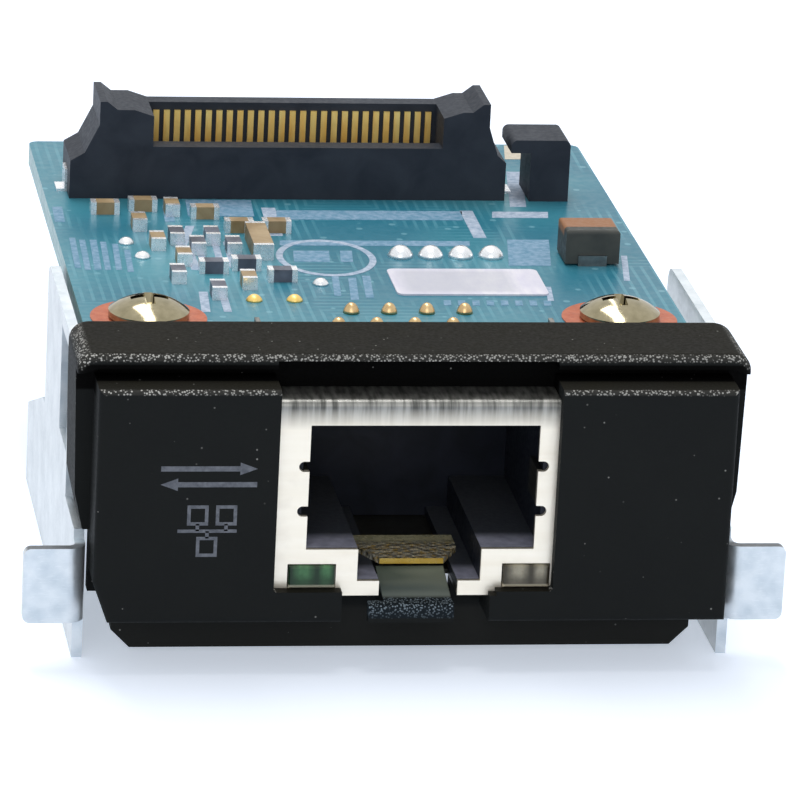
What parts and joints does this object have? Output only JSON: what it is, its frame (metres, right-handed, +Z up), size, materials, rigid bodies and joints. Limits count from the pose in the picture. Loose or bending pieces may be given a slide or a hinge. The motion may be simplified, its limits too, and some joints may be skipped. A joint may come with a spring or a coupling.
{
  "type": "network port adapter card",
  "caption": "Plug-in network port card: black moulded face with a modular jack, folded steel side brackets, and a blue circuit board with an upright board connector.",
  "frame": {"origin": "middle of the footprint on the surface that the card rests on", "axes": "+X to the right seen from the face, +Y back along the card from the face, +Z up from the resting surface to the board's component side"},
  "size_m": [0.0404, 0.0444, 0.0217],
  "materials": {
    "bezel_plastic": "fine grained",
    "galvanised_steel": "galvanised, satin",
    "board_laminate": "blue lacquer over glass laminate",
    "shell_metal": "plated, satin",
    "jack_plastic": "moulded",
    "gold_contact": "gold plated",
    "solder": "tinned",
    "green_lens": "clear green, unlit",
    "clear_lens": "clear, unlit",
    "amber_film": "clear amber",
    "screw_metal": "plated",
    "bare_copper": "bare copper",
    "connector_plastic": "moulded",
    "block_body": "moulded",
    "tan_ceramic": "fired",
    "dark_ceramic": "fired",
    "sticker_paper": "coated, blank",
    "chip_plastic": "moulded",
    "crystal_can": "plated lid",
    "coil_body": "pressed powder"
  },
  "bodies": {
    "root": {"bezel": "bezel_plastic", "bracket_left": "galvanised_steel", "bracket_right": "galvanised_steel", "circuit_board": "board_laminate", "jack_shell": "shell_metal", "jack_housing": "jack_plastic", "contact_comb": "jack_plastic", "jack_contacts": "gold_contact", "jack_pins": "gold_contact", "solder_joints": "solder", "status_lens_left": "green_lens", "status_lens_right": "clear_lens", "latch_film": "amber_film", "screw_left": "screw_metal", "screw_right": "screw_metal", "screw_ring_left": "bare_copper", "screw_ring_right": "bare_copper", "connector_housing": "connector_plastic", "connector_front_blades": "gold_contact", "connector_back_blades": "gold_contact", "connector_tails": "gold_contact", "connector_hold_downs": "solder", "hook_post": "connector_plastic", "block_capacitor": "block_body", "block_leads": "solder", "chip_capacitors": "tan_ceramic", "chip_resistors": "dark_ceramic", "chip_ends": "solder", "diode": "tan_ceramic", "test_pads": "gold_contact", "label_sticker": "sticker_paper", "network_controller": "chip_plastic", "controller_leads": "solder", "crystal": "crystal_can", "memory_chip": "chip_plastic", "memory_leads": "solder", "power_coils": "coil_body"}
  },
  "joints": []
}
